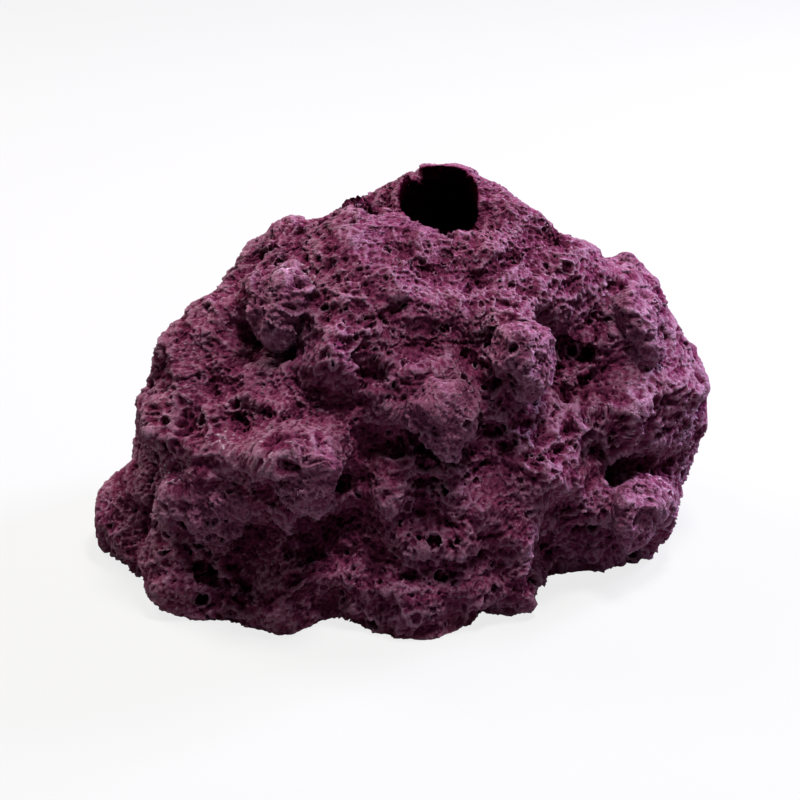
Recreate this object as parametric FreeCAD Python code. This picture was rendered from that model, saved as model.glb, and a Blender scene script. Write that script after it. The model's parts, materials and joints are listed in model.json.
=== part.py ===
"""Volcano-shaped cave ornament for an aquarium, cast in filled resin.

A hollow, open-bottomed rock shell stands on its own rim.  A round bore runs
down from the crater into the cave.  Rubble chunks are bonded into pockets all
round the shell.  The rock is modelled as broken stone is, in small flat facets,
and only the bore is round.  Units are millimetres, +Z is up, the origin is under
the middle of the part on the surface that it stands on, and -Y is the front.
"""
import FreeCAD, Part
import math
import os

Vector = FreeCAD.Vector

# ---------------------------------------------------------------- driving sizes
BASE_HALF_WIDTH = 74.0      # shell at the floor, along its long axis, before the lumps
BASE_HALF_DEPTH = 52.0      # shell at the floor, across its long axis, before the lumps
RIM_HEIGHT = 92.0           # crater rim above the floor, on average
LONG_AXIS_TURN = 12.0       # degrees that the long axis is turned from +X
PLAN_POWER = 2.1            # 2 is an ellipse in plan, more is squarer
DOME_POWER = 1.85           # 2 is an elliptical side view, less is more conical
DOME_OVER_RIM = 1.0         # how far above the rim the dome would close with no crater
DOME_HEIGHT = RIM_HEIGHT + DOME_OVER_RIM
FOOT_INSET = 0.05           # share by which the wall tucks in where it meets the floor
FOOT_LEVEL = 0.07           # level up to which that tuck reaches
BASE_CENTRE = (-3.5, 0.3)   # middle of the plan at the floor

BORE_DIAMETER = 20.0        # round mouth of the cave
CRATER_CENTRE = (9.2, 2.8)  # axis of the bore
RIM_SLOPE = 0.56            # the rim's plane slopes down to the front by this share
RIM_TILT = RIM_SLOPE * BORE_DIAMETER / 2
RIM_TILT_AZIMUTH = 95.0     # direction in which the rim is highest
RIM_BLEND = 9.0             # distance over which the rim runs out into the slope

CHIP_FROM = 122.0           # broken piece of the rim: its first and last azimuth
CHIP_TO = 176.0
CHIP_DEPTH = 4.3            # how far its floor lies below the rim
CHIP_REACH = 7.0            # how far the chip runs outwards from the bore

WALL = 12.0                 # thickness of the shell's side walls
ROOF = 20.0                 # solid rock between the cave and the dome's closed height
CAVE_POWER = 2.2            # side view of the cave, as DOME_POWER

BOND_LINE = 0.3             # gap all round a chunk, filled with resin mortar
CHUNK_TIP = 0.22            # the worn flat on a chunk's tip, as a share of its girth

CRAG_SPACING = 14.0         # between the scooped dishes that cover the whole rock
CRAG_DEPTH = 3.6            # of a dish, at its middle
CRAG_SQUASH = 1.35          # how much wider a dish is than tall
CRAG_START = (-2.3, -0.4)   # place in the pattern of dishes at the base's middle
CRAG_WIDTH = 0.65           # radius of a dish, as a share of the spacing

# Lumps and hollows of the shell: azimuth in degrees, level from floor 0 to top 1,
# rise (a hollow has a negative one) and spread.
LUMPS = {
    "right_shoulder": (8, 0.44, 10.0, 17),
    "right_flank": (1, 0.28, 13.5, 17),
    "right_front_flank": (345, 0.30, 8.0, 13),
    "right_back_flank": (30, 0.25, 7.0, 18),
    "right_knee": (345, 0.12, 5.0, 14),
    "right_low_flank": (358, 0.17, 4.0, 12),
    "left_foot": (192, 0.08, 4.0, 14),
    "left_saddle": (192, 0.20, -6.0, 11),
    "left_flank_low": (200, 0.30, 1.0, 11),
    "left_flank_high": (197, 0.42, 6.0, 13),
    "left_brow": (193, 0.56, 2.0, 14),
    "front_left_foot": (236, 0.03, 9.0, 15),
    "left_front_foot": (212, 0.03, 4.0, 12),
    "front_notch": (256, 0.02, -4.0, 8),
    "front_foot": (279, 0.03, 9.0, 14),
    "mound_foot": (308, 0.03, 3.5, 11),
    "right_front_slack": (322, 0.04, -6.0, 14),
    "low_mound": (289, 0.18, 5.0, 14),
    "ledge": (243, 0.29, 6.0, 13),
    "upper_left": (188, 0.72, -1.0, 14),
    "upper_right": (15, 0.66, 2.0, 14),
    "crater_shoulder": (35, 0.84, 1.0, 12),
    "back_foot": (75, 0.05, 6.0, 17),
    "back_left_foot": (132, 0.06, 6.0, 18),
    "back_gully": (104, 0.16, -5.0, 14),
    "back_spur": (82, 0.42, 7.0, 16),
    "back_left_bulge": (140, 0.36, 7.0, 17),
    "back_scoop": (112, 0.50, -4.0, 14),
    "back_brow": (118, 0.70, 4.0, 15),
}

# Ridges and gullies of the shell: azimuth and level of one end, then of the other
# end, rise (a gully has a negative one) and spread.
RIDGES = {
    "ledge_brow": (213, 0.32, 254, 0.30, 4.0, 9),
    "ledge_undercut": (236, 0.17, 262, 0.20, -4.5, 9),
    "left_rib": (213, 0.28, 222, 0.09, 5.0, 9),
    "left_gully": (230, 0.17, 232, 0.05, -5.0, 8),
    "left_foot_gully": (206, 0.22, 208, 0.04, -4.0, 8),
    "centre_crease": (258, 0.32, 254, 0.22, -4.5, 7),
    "valley_brow": (246, 0.50, 274, 0.44, 4.0, 8),
    "valley": (243, 0.43, 268, 0.37, -3.0, 9),
    "knob_rib": (234, 0.61, 243, 0.49, 3.0, 7),
    "knob_hollow": (216, 0.49, 230, 0.58, -3.5, 9),
    "pillar": (316, 0.53, 308, 0.42, 4.0, 8),
    "pillar_hollow": (326, 0.50, 328, 0.40, -5.0, 8),
    "right_spur": (314, 0.28, 346, 0.10, 6.5, 9),
    "right_gully": (328, 0.25, 349, 0.17, -6.0, 9),
    "mound_edge": (303, 0.25, 306, 0.05, 4.0, 8),
    "mound_gully": (313, 0.19, 314, 0.03, -3.0, 8),
    "crater_spur": (20, 0.84, 350, 0.58, 3.0, 9),
    "crater_notch": (12, 0.72, 22, 0.64, -3.5, 7),
    "skyline_brow": (196, 0.88, 186, 0.62, 1.0, 9),
    "back_rib": (58, 0.58, 52, 0.28, 3.5, 10),
    "back_crease": (128, 0.62, 124, 0.20, -4.5, 9),
    "back_ledge": (84, 0.24, 116, 0.28, 4.0, 10),
    "back_left_rib": (156, 0.60, 164, 0.15, 4.0, 10),
    "back_left_gully": (174, 0.50, 178, 0.12, -4.0, 9),
}
SHARPNESS = 1.6             # how many standard deviations a lump's or ridge's spread holds

# Open pits worn into the crust: azimuth, level, radius of the mouth, depth.
PITS = {
    "crest_pit": (258, 0.47, 4.5, 4.0),
    "pit_beside_knob": (324, 0.43, 5.0, 2.5),
    "pit_under_knob": (224, 0.50, 4.5, 4.0),
    "pit_below_rim": (288, 0.74, 1.6, 2.0),
    "slot_by_crater": (13, 0.70, 3.2, 3.0),
    "pit_by_boulder": (292, 0.37, 3.0, 3.5),
    "pit_by_ledge": (256, 0.27, 3.5, 4.0),
    "pit_under_ledge": (248, 0.16, 5.0, 2.5),
    "pit_low_left": (228, 0.10, 5.0, 4.0),
    "groove_right": (335, 0.20, 5.0, 4.0),
    "pit_mid_slope": (262, 0.60, 3.2, 2.6),
    "pit_left_flank": (209, 0.28, 4.2, 3.5),
    "pit_back_high": (70, 0.60, 4.0, 3.5),
    "pit_back_low": (118, 0.24, 5.0, 4.0),
    "pit_back_left": (160, 0.50, 4.2, 3.5),
}

# Rubble chunks bonded to the shell: azimuth and level of the seat, half width,
# half height, how far it stands out of the shell, how deep it is let in, and
# the upward lean of its axis in degrees.
CHUNKS = {
    "front_boulder": (282, 0.395, 8.5, 8.7, 8.0, 4.5, 8),
    "right_knob": (310, 0.475, 8.0, 9.0, 7.0, 4.5, 15),
    "left_knob": (216, 0.585, 9.5, 8.5, 8.0, 4.0, 28),
    "shoulder_boulder": (355, 0.440, 12.0, 11.0, 5.5, 4.5, 25),
    "rear_stub": (22, 0.420, 9.0, 8.5, 9.0, 4.5, 45),
    "ledge_chunk": (245, 0.300, 9.0, 8.0, 4.5, 4.5, 5),
    "left_ridge_chunk": (225, 0.215, 9.0, 10.0, 6.5, 4.5, 5),
    "right_ledge_chunk": (335, 0.150, 10.5, 8.0, 4.0, 4.5, 5),
    "left_flank_chunk": (203, 0.290, 9.5, 10.0, 2.8, 4.5, 0),
    "back_boulder": (98, 0.330, 12.0, 10.5, 7.0, 4.5, 10),
}

# Form of a chunk: share of its girth at each share of its height, seat to tip.
CHUNK_PROFILE = (
    (0.00, 0.74),
    (0.10, 0.84),
    (0.28, 0.97),
    (0.50, 1.02),
    (0.72, 0.88),
    (0.88, 0.62),
    (0.97, 0.38),
    (1.00, CHUNK_TIP),
)
CHUNK_LOBE_COUNT = 3        # broad corners round a chunk
CHUNK_LOBE_RISE = 0.07      # their rise as a share of its girth
CHUNK_UNEVENNESS = 0.06     # unevenness of its facets, as a share of its girth

# Form of a pit: share of its mouth at each share of its depth, floor to mouth.
PIT_PROFILE = (
    (1.0, 0.40),
    (0.75, 0.75),
    (0.35, 0.95),
    (0.0, 1.00),
)

# How many facets there are round each form, and rows of points up it.
SHELL_FACET_COUNT = 84
SHELL_ROW_COUNT = 28
CAVE_FACET_COUNT = 28
CAVE_ROW_COUNT = 9
CHUNK_FACET_COUNT = 12
PIT_FACET_COUNT = 9
CAVE_TOP_LEVEL = 0.94       # level that the cave's flat ceiling is at
SHELL_TOP_LEVEL = 0.965     # level that the rock is closed at, inside the bore
THROUGH = 5.0               # how far a cutting tool runs past what it cuts


# ------------------------------------------------------------------- the form
def plan_radius(azimuth, half_width, half_depth):
    """Radius in plan: a superellipse turned by LONG_AXIS_TURN."""
    a = azimuth - math.radians(LONG_AXIS_TURN)
    along = abs(math.cos(a) / half_width) ** PLAN_POWER
    across = abs(math.sin(a) / half_depth) ** PLAN_POWER
    return (along + across) ** (-1.0 / PLAN_POWER)


def axis_at(level):
    """Middle of the plan at a level: it leans from the base's to the crater's."""
    share = max(level, 0.0) ** 1.3
    return tuple(b + (c - b) * share for b, c in zip(BASE_CENTRE, CRATER_CENTRE))


def dome(azimuth, level):
    """Smooth rock before its lumps: a superellipse in plan and in side view."""
    angle = level * math.pi / 2
    tuck = 1 - FOOT_INSET * max(0.0, 1 - level / FOOT_LEVEL) ** 2
    radius = plan_radius(azimuth, BASE_HALF_WIDTH, BASE_HALF_DEPTH) * tuck
    radius *= math.cos(angle) ** (2 / DOME_POWER)
    cx, cy = axis_at(level)
    height = DOME_HEIGHT * math.sin(angle) ** (2 / DOME_POWER)
    return Vector(cx + radius * math.cos(azimuth), cy + radius * math.sin(azimuth), height)


def outward(azimuth, level):
    """Unit normal of the dome, from two short steps along it."""
    step = 0.004
    low, high = max(level - step, 0.001), level + step
    up = dome(azimuth, high) - dome(azimuth, low)
    round_ = dome(azimuth + step, high) - dome(azimuth - step, high)
    return round_.cross(up).normalize()


def rim_height(azimuth):
    """Height of the crater's rim, which lies in a tilted plane."""
    return RIM_HEIGHT + RIM_TILT * math.cos(azimuth - math.radians(RIM_TILT_AZIMUTH))


def swell(distance, spread):
    """Bell-shaped share of a lump's rise that is left at a distance from it."""
    return math.exp(-0.5 * (distance * SHARPNESS / spread) ** 2)


def distance_to_run(point, start, end):
    """Distance of a point from the straight run between two others."""
    run = end - start
    share = (point - start).dot(run) / run.dot(run)
    return (point - start - run * min(max(share, 0.0), 1.0)).Length


def at(azimuth_degrees, level):
    """Place on the smooth dome, from an azimuth in degrees."""
    return dome(math.radians(azimuth_degrees), level)


def scatter(i, j, k, n):
    """A fixed number from 0 to 1 for a cell of a lattice: what is left of a large sine."""
    value = math.sin(i * 127.1 + j * 311.7 + k * 74.7 + n * 53.3) * 43758.5453
    return value - math.floor(value)


def dish(point):
    """Depth of the dishes at a point, 0 to 1: 1 - (d/r)^2 about the middle of each one."""
    x, y = (c - b + s for c, b, s in zip(point, BASE_CENTRE, CRAG_START))
    point = Vector(x, y, point.z * CRAG_SQUASH)
    corner = [math.floor(c / CRAG_SPACING - 0.5) for c in point]
    depth = 0.0
    for number in range(8):
        i, j, k = (c + (number >> n & 1) for n, c in enumerate(corner))
        middle = Vector(*(
            (c + 0.15 + 0.7 * scatter(i, j, k, n)) * CRAG_SPACING for n, c in enumerate((i, j, k))))
        away = (point - middle).Length / (CRAG_WIDTH * CRAG_SPACING)
        depth = max(depth, 1 - away ** 2)
    return depth


def rock(azimuth, level):
    """Point of the rock's skin: the dome, its crags, lumps and ridges, then the crater's rim."""
    point = dome(azimuth, level)
    rise = CRAG_DEPTH * (0.5 - dish(point))
    for lump_azimuth, lump_level, lump_rise, spread in LUMPS.values():
        rise += lump_rise * swell((point - at(lump_azimuth, lump_level)).Length, spread)
    for azimuth_a, level_a, azimuth_b, level_b, ridge_rise, spread in RIDGES.values():
        distance = distance_to_run(point, at(azimuth_a, level_a), at(azimuth_b, level_b))
        rise += ridge_rise * swell(distance, spread)
    dx, dy = point.x - CRATER_CENTRE[0], point.y - CRATER_CENTRE[1]
    beyond = max(0.0, math.hypot(dx, dy) - BORE_DIAMETER / 2)
    nearness = math.exp(-beyond / RIM_BLEND)
    lift = rim_height(math.atan2(dy, dx)) - closed_height_at_bore()
    return point + outward(azimuth, level) * rise * (1 - nearness) + Vector(0, 0, lift * nearness)


def closed_height_at_bore():
    """Height of the smooth dome where the bore breaks out of it."""
    reach = (BASE_HALF_WIDTH + BASE_HALF_DEPTH) / 2
    share = BORE_DIAMETER / 2 / reach
    return DOME_HEIGHT * (1 - share ** DOME_POWER) ** (1 / DOME_POWER)


# ------------------------------------------------------------ solids from rows
def solid_from_rows(rows):
    """Closed solid of flat facets through rows of points, capped flat at both ends."""
    count = len(rows[0])
    loops = [rows[0][::-1], rows[-1]]
    for k, (low, high) in enumerate(zip(rows, rows[1:])):
        for i in range(count):
            j = (i + 1) % count
            if (i + k) % 2:
                loops += [(low[i], low[j], high[j]), (low[i], high[j], high[i])]
            else:
                loops += [(low[i], low[j], high[i]), (low[j], high[j], high[i])]
    faces = [Part.Face(Part.makePolygon(list(loop) + [loop[0]])) for loop in loops]
    shell = Part.Shell(faces)
    shell.sewShape()
    solid = Part.Solid(shell)
    if solid.Volume < 0:
        solid.reverse()
    return solid


def ring(count, point_at):
    """Points all the way round, from a function of the azimuth."""
    return [point_at(2 * math.pi * i / count) for i in range(count)]


def on_plane(points, height):
    """The same points moved onto a level plane."""
    return [Vector(p.x, p.y, height) for p in points]


# ------------------------------------------------------------------ the pieces
def solid_rock():
    """The whole rock with no cave, pockets or bore, closed inside the bore."""
    rows = [on_plane(ring(SHELL_FACET_COUNT, lambda a: rock(a, 0.0)), 0.0)]
    for i in range(1, SHELL_ROW_COUNT):
        share = i / (SHELL_ROW_COUNT - 1)
        level = SHELL_TOP_LEVEL * (0.8 * share + 0.2 * share ** 2)
        rows.append(ring(SHELL_FACET_COUNT, lambda a, l=level: rock(a, l)))
    rows[-1] = on_plane(rows[-1], RIM_HEIGHT)
    return solid_from_rows(rows)


def cave_point(azimuth, level):
    """Point of the cave's wall: a plain dome, WALL and ROOF inside the rock's."""
    angle = level * math.pi / 2
    spread = math.cos(angle) ** (2 / CAVE_POWER)
    radius = plan_radius(azimuth, BASE_HALF_WIDTH - WALL, BASE_HALF_DEPTH - WALL) * spread
    cx, cy = axis_at(level)
    height = (DOME_HEIGHT - ROOF) * math.sin(angle) ** (2 / CAVE_POWER)
    return Vector(cx + radius * math.cos(azimuth), cy + radius * math.sin(azimuth), height)


def cave():
    """The hollow under the shell, open to the floor."""
    rows = [on_plane(ring(CAVE_FACET_COUNT, lambda a: cave_point(a, 0.0)), -THROUGH)]
    for i in range(CAVE_ROW_COUNT):
        level = CAVE_TOP_LEVEL * i / (CAVE_ROW_COUNT - 1)
        rows.append(ring(CAVE_FACET_COUNT, lambda a, l=level: cave_point(a, l)))
    return solid_from_rows(rows)


def bore():
    """The round bore from inside the cave up through the crater."""
    foot = Vector(CRATER_CENTRE[0], CRATER_CENTRE[1], (DOME_HEIGHT - ROOF) / 2)
    length = RIM_HEIGHT + RIM_TILT + 2 * THROUGH - foot.z
    return Part.makeCylinder(BORE_DIAMETER / 2, length, foot, Vector(0, 0, 1))


def rim_chip():
    """A wedge of rim that has broken away beside the bore."""
    radius = BORE_DIAMETER / 2 + CHIP_REACH
    floor = rim_height(math.radians((CHIP_FROM + CHIP_TO) / 2)) - CHIP_DEPTH
    centre = Vector(CRATER_CENTRE[0], CRATER_CENTRE[1], floor)
    tall = CHIP_DEPTH + RIM_TILT + THROUGH
    wedge = Part.makeCylinder(radius, tall, centre, Vector(0, 0, 1), CHIP_TO - CHIP_FROM)
    wedge.rotate(centre, Vector(0, 0, 1), CHIP_FROM)
    return wedge


def bearings(out):
    """Two unit directions across an outward one: level with the floor, then up."""
    across = Vector(-out.y, out.x, 0).normalize()
    return across, out.cross(across)


def pit(azimuth, level, mouth, depth):
    """A worn bowl that breaks the skin in a ring of the mouth's size."""
    angle = math.radians(azimuth)
    out = outward(angle, level)
    across, up = bearings(out)
    centre = rock(angle, level)

    def bowl_ring(along, radius):
        return [
            centre + out * along + (across * math.cos(turn) + up * math.sin(turn)) * radius
            for turn in (2 * math.pi * i / PIT_FACET_COUNT for i in range(PIT_FACET_COUNT))
        ]

    rows = [bowl_ring(-depth * low, mouth * wide) for low, wide in PIT_PROFILE]
    return solid_from_rows(rows + [bowl_ring(THROUGH, mouth)])


def chunk(azimuth, level, half_width, half_height, stand_out, let_in, lean, grow=0.0):
    """A rubble chunk on its flat seat; grow makes the pocket that takes it."""
    angle = math.radians(azimuth)
    tip = math.radians(lean)
    out = Vector(math.cos(angle) * math.cos(tip), math.sin(angle) * math.cos(tip), math.sin(tip))
    across, up = bearings(out)
    seat = rock(angle, level) - out * let_in
    rows = []
    for k, (share, girth) in enumerate(CHUNK_PROFILE):
        along = share * (stand_out + let_in) + (grow if share == 1.0 else 0.0)
        rows.append([])
        for i in range(CHUNK_FACET_COUNT):
            turn = 2 * math.pi * i / CHUNK_FACET_COUNT
            broad = CHUNK_LOBE_RISE * math.cos(CHUNK_LOBE_COUNT * turn + angle)
            uneven = CHUNK_UNEVENNESS * math.sin(i * i + 3 * k + 10 * angle)
            size = girth * (1 + broad + uneven)
            wide = (half_width * size + grow) * math.cos(turn)
            high = (half_height * size + grow) * math.sin(turn)
            rows[-1].append(seat + out * along + across * wide + up * high)
    return solid_from_rows(rows)


def rock_shell():
    """The hollow casting: rock less cave, bore, chip, pits and chunk pockets."""
    tools = [cave(), bore(), rim_chip()]
    tools += [pit(*values) for values in PITS.values()]
    tools += [chunk(*values, grow=BOND_LINE) for values in CHUNKS.values()]
    return solid_rock().cut(tools)


# --------------------------------------------------------------------- export
def export(name, shape):
    """Writes one closed solid to parts/NAME.step."""
    if len(shape.Solids) != 1 or not shape.isValid():
        raise RuntimeError("%s has %d solids, valid %s" % (name, len(shape.Solids), shape.isValid()))
    solid = shape.Solids[0]
    solid.exportStep(os.path.join("parts", name + ".step"))
    box = solid.BoundBox
    print("%-20s %7.1f cm3  x %.1f %.1f  y %.1f %.1f  z %.1f %.1f" % (
        name, solid.Volume / 1000, box.XMin, box.XMax, box.YMin, box.YMax, box.ZMin, box.ZMax))


def main():
    os.makedirs("parts", exist_ok=True)
    export("rock_shell", rock_shell())
    for name, values in CHUNKS.items():
        export(name, chunk(*values))


main()
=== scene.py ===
"""Dresses the solid model of a cave ornament: a crust of lava rock, its rubble, a stage.

Lengths inside the rock's own functions are millimetres, as in the solid model,
and turn to metres only when a mesh is made.
"""
import json
import math
from concurrent.futures import ThreadPoolExecutor
from functools import lru_cache

import bpy
import numpy as np
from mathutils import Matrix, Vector


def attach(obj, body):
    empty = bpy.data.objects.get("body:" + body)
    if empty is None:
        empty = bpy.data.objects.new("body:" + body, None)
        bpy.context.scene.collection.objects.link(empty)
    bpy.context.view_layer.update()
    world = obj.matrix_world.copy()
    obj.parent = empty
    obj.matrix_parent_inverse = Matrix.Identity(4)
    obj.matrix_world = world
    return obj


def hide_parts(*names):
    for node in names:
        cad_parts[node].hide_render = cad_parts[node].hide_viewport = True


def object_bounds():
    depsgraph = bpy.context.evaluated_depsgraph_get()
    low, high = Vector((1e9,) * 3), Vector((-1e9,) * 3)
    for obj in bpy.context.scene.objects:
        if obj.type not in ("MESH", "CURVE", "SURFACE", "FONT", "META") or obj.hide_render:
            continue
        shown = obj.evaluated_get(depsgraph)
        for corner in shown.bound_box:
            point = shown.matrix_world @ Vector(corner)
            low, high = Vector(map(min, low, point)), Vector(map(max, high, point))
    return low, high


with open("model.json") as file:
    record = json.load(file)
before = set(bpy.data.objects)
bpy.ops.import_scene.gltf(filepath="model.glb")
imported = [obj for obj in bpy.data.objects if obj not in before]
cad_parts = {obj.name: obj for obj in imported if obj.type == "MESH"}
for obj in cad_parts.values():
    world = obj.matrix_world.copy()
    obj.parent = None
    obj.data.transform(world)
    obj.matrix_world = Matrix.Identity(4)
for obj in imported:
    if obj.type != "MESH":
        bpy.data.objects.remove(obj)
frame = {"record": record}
CAD_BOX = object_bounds()

bl_info = {
    "name": "Lava Rock Cave Ornament",
    "version": (1, 0, 0),
    "blender": (4, 5, 0),
    "location": "3D View > Sidebar > Rock Cave",
    "description": "Makes the crust, the rubble and the stage of a cast lava-rock ornament",
    "category": "Add Mesh",
}

MM = 0.001
LOW = np.array(CAD_BOX[0]) / MM
HIGH = np.array(CAD_BOX[1]) / MM
MOUNTS = {mount["name"]: mount for mount in frame["record"]["mounts"]}

# ---- form of the rock
BASE_HALF_WIDTH = 74.0
BASE_HALF_DEPTH = 52.0
RIM_HEIGHT = 92.0
LONG_AXIS_TURN = math.radians(12)
PLAN_POWER = 2.1
DOME_POWER = 1.85
DOME_OVER_RIM = 1.0
DOME_HEIGHT = RIM_HEIGHT + DOME_OVER_RIM
FOOT_INSET = 0.05
FOOT_LEVEL = 0.07
BASE_CENTRE = (-3.5, 0.3)
LEAN_POWER = 1.3            # how late the axis leans to the crater

BORE_RADIUS = MOUNTS["bore"]["dims"]["r_mm"]
CRATER_CENTRE = tuple(float(c) / MM for c in MOUNTS["bore"]["pos_m"][:2])
RIM_TILT = 5.6
RIM_TILT_AZIMUTH = math.radians(95)
RIM_BLEND = 9.0
RIM_LEVEL = 0.88            # level at which the smooth dome is as narrow as the bore
RIM_GATHER_LEVEL = 0.72     # from here up, the rows close in on the bore's circle

CHIP_FROM = math.radians(108)
CHIP_TO = math.radians(134)
CHIP_DEPTH = 4.3
CHIP_REACH = 10.0

WALL = 12.0
ROOF = 20.0
CAVE_POWER = 2.2
CAVE_TOP_LEVEL = 0.90

CRAG_SPACING = 14.0         # between the scooped dishes that cover the whole rock
CRAG_DEPTH = 3.6            # of a dish, at its middle
CRAG_SQUASH = 1.35          # how much wider a dish is than tall
CRAG_START = (-2.3, -0.4)   # place in the pattern of dishes at the base's middle
CRAG_WIDTH = 0.65           # radius of a dish, as a share of the spacing
CELL_MARGIN = 0.15          # of a cell, kept clear of middles
SCATTER = (127.1, 311.7, 74.7, 53.3, 43758.5453)

# Lumps and hollows: azimuth in degrees, level, rise and spread.
LUMPS = {
    "right_shoulder": (8, 0.44, 10.0, 17),
    "right_flank": (1, 0.28, 13.5, 17),
    "right_front_flank": (345, 0.30, 8.0, 13),
    "right_back_flank": (30, 0.25, 7.0, 18),
    "right_knee": (345, 0.12, 5.0, 14),
    "right_low_flank": (358, 0.17, 4.0, 12),
    "left_foot": (192, 0.08, 4.0, 14),
    "left_saddle": (192, 0.20, -6.0, 11),
    "left_flank_low": (200, 0.30, 1.0, 11),
    "left_flank_high": (197, 0.42, 6.0, 13),
    "left_brow": (193, 0.56, 2.0, 14),
    "front_left_foot": (236, 0.03, 9.0, 15),
    "left_front_foot": (212, 0.03, 4.0, 12),
    "front_notch": (256, 0.02, -4.0, 8),
    "front_foot": (279, 0.03, 9.0, 14),
    "mound_foot": (308, 0.03, 3.5, 11),
    "right_front_slack": (322, 0.04, -6.0, 14),
    "low_mound": (289, 0.18, 5.0, 14),
    "ledge": (243, 0.29, 6.0, 13),
    "upper_left": (188, 0.72, -1.0, 14),
    "upper_right": (15, 0.66, 2.0, 14),
    "crater_shoulder": (35, 0.84, 1.0, 12),
    "back_foot": (75, 0.05, 6.0, 17),
    "back_left_foot": (132, 0.06, 6.0, 18),
    "back_gully": (104, 0.16, -5.0, 14),
    "back_spur": (82, 0.42, 7.0, 16),
    "back_left_bulge": (140, 0.36, 7.0, 17),
    "back_scoop": (112, 0.50, -4.0, 14),
    "back_brow": (118, 0.70, 4.0, 15),
}

# Ridges and gullies: azimuth and level of each end, rise and spread.
RIDGES = {
    "ledge_brow": (213, 0.32, 254, 0.30, 4.0, 9),
    "ledge_undercut": (236, 0.17, 262, 0.20, -4.5, 9),
    "left_rib": (213, 0.28, 222, 0.09, 5.0, 9),
    "left_gully": (230, 0.17, 232, 0.05, -5.0, 8),
    "left_foot_gully": (206, 0.22, 208, 0.04, -4.0, 8),
    "centre_crease": (258, 0.32, 254, 0.22, -4.5, 7),
    "valley_brow": (246, 0.50, 274, 0.44, 4.0, 8),
    "valley": (243, 0.43, 268, 0.37, -3.0, 9),
    "knob_rib": (234, 0.61, 243, 0.49, 3.0, 7),
    "knob_hollow": (216, 0.49, 230, 0.58, -3.5, 9),
    "pillar": (316, 0.53, 308, 0.42, 4.0, 8),
    "pillar_hollow": (326, 0.50, 328, 0.40, -5.0, 8),
    "right_spur": (314, 0.28, 346, 0.10, 6.5, 9),
    "right_gully": (328, 0.25, 349, 0.17, -6.0, 9),
    "mound_edge": (303, 0.25, 306, 0.05, 4.0, 8),
    "mound_gully": (313, 0.19, 314, 0.03, -3.0, 8),
    "crater_spur": (20, 0.84, 350, 0.58, 3.0, 9),
    "crater_notch": (12, 0.72, 22, 0.64, -3.5, 7),
    "skyline_brow": (196, 0.88, 186, 0.62, 1.0, 9),
    "back_rib": (58, 0.58, 52, 0.28, 3.5, 10),
    "back_crease": (128, 0.62, 124, 0.20, -4.5, 9),
    "back_ledge": (84, 0.24, 116, 0.28, 4.0, 10),
    "back_left_rib": (156, 0.60, 164, 0.15, 4.0, 10),
    "back_left_gully": (174, 0.50, 178, 0.12, -4.0, 9),
}
SHARPNESS = 1.6             # how many standard deviations a spread holds

# Open pits: azimuth, level, radius of the mouth, depth.
PITS = {
    "crest_pit": (258, 0.47, 4.5, 4.0),
    "pit_beside_knob": (324, 0.43, 5.0, 2.5),
    "pit_under_knob": (224, 0.50, 4.5, 4.0),
    "pit_below_rim": (288, 0.74, 1.6, 2.0),
    "slot_by_crater": (13, 0.70, 3.2, 3.0),
    "pit_by_boulder": (292, 0.37, 3.0, 3.5),
    "pit_by_ledge": (256, 0.27, 3.5, 4.0),
    "pit_under_ledge": (248, 0.16, 5.0, 2.5),
    "pit_low_left": (228, 0.10, 5.0, 4.0),
    "groove_right": (335, 0.20, 5.0, 4.0),
    "pit_mid_slope": (262, 0.60, 3.2, 2.6),
    "pit_left_flank": (209, 0.28, 4.2, 3.5),
    "pit_back_high": (70, 0.60, 4.0, 3.5),
    "pit_back_low": (118, 0.24, 5.0, 4.0),
    "pit_back_left": (160, 0.50, 4.2, 3.5),
}

# Rubble: azimuth and level of the seat, half width, half height, how far it
# stands out, how deep it is let in, and the upward lean of its axis in degrees.
CHUNKS = {
    "front_boulder": (282, 0.395, 8.5, 8.7, 8.0, 4.5, 8),
    "right_knob": (310, 0.475, 8.0, 9.0, 7.0, 4.5, 15),
    "left_knob": (216, 0.585, 9.5, 8.5, 8.0, 4.0, 28),
    "shoulder_boulder": (355, 0.440, 12.0, 11.0, 5.5, 4.5, 25),
    "rear_stub": (22, 0.420, 9.0, 8.5, 9.0, 4.5, 45),
    "ledge_chunk": (245, 0.300, 9.0, 8.0, 4.5, 4.5, 5),
    "left_ridge_chunk": (225, 0.215, 9.0, 10.0, 6.5, 4.5, 5),
    "right_ledge_chunk": (335, 0.150, 10.5, 8.0, 4.0, 4.5, 5),
    "left_flank_chunk": (203, 0.290, 9.5, 10.0, 2.8, 4.5, 0),
    "back_boulder": (98, 0.330, 12.0, 10.5, 7.0, 4.5, 10),
}
CHUNK_PROFILE = (
    (0.00, 0.74), (0.10, 0.84), (0.28, 0.97), (0.50, 1.02),
    (0.72, 0.88), (0.88, 0.62), (0.97, 0.38), (1.00, 0.22),
)
CHUNK_LOBES = 3
CHUNK_LOBE_RISE = 0.07


# ---- vector sums
CORNERS = [(i, j, k) for i in (0, 1) for j in (0, 1) for k in (0, 1)]


def unit(vectors):
    """The vectors, each divided by its length."""
    return vectors / np.maximum(np.linalg.norm(vectors, axis=-1, keepdims=True), 1e-9)


def smooth(x, low, high):
    """0 below low, 1 above high, and the cubic 3s^2 - 2s^3 between them."""
    s = np.clip((x - low) / (high - low), 0, 1)
    return s * s * (3 - 2 * s)


def grid_normals(points, round_closed=True, along_closed=True):
    """Outward unit normals of a grid: the cross product of its central differences."""
    def difference(axis, closed):
        if closed:
            return np.roll(points, -1, axis) - np.roll(points, 1, axis)
        return np.gradient(points, axis=axis)

    return unit(np.cross(difference(1, round_closed), difference(0, along_closed)))


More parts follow.
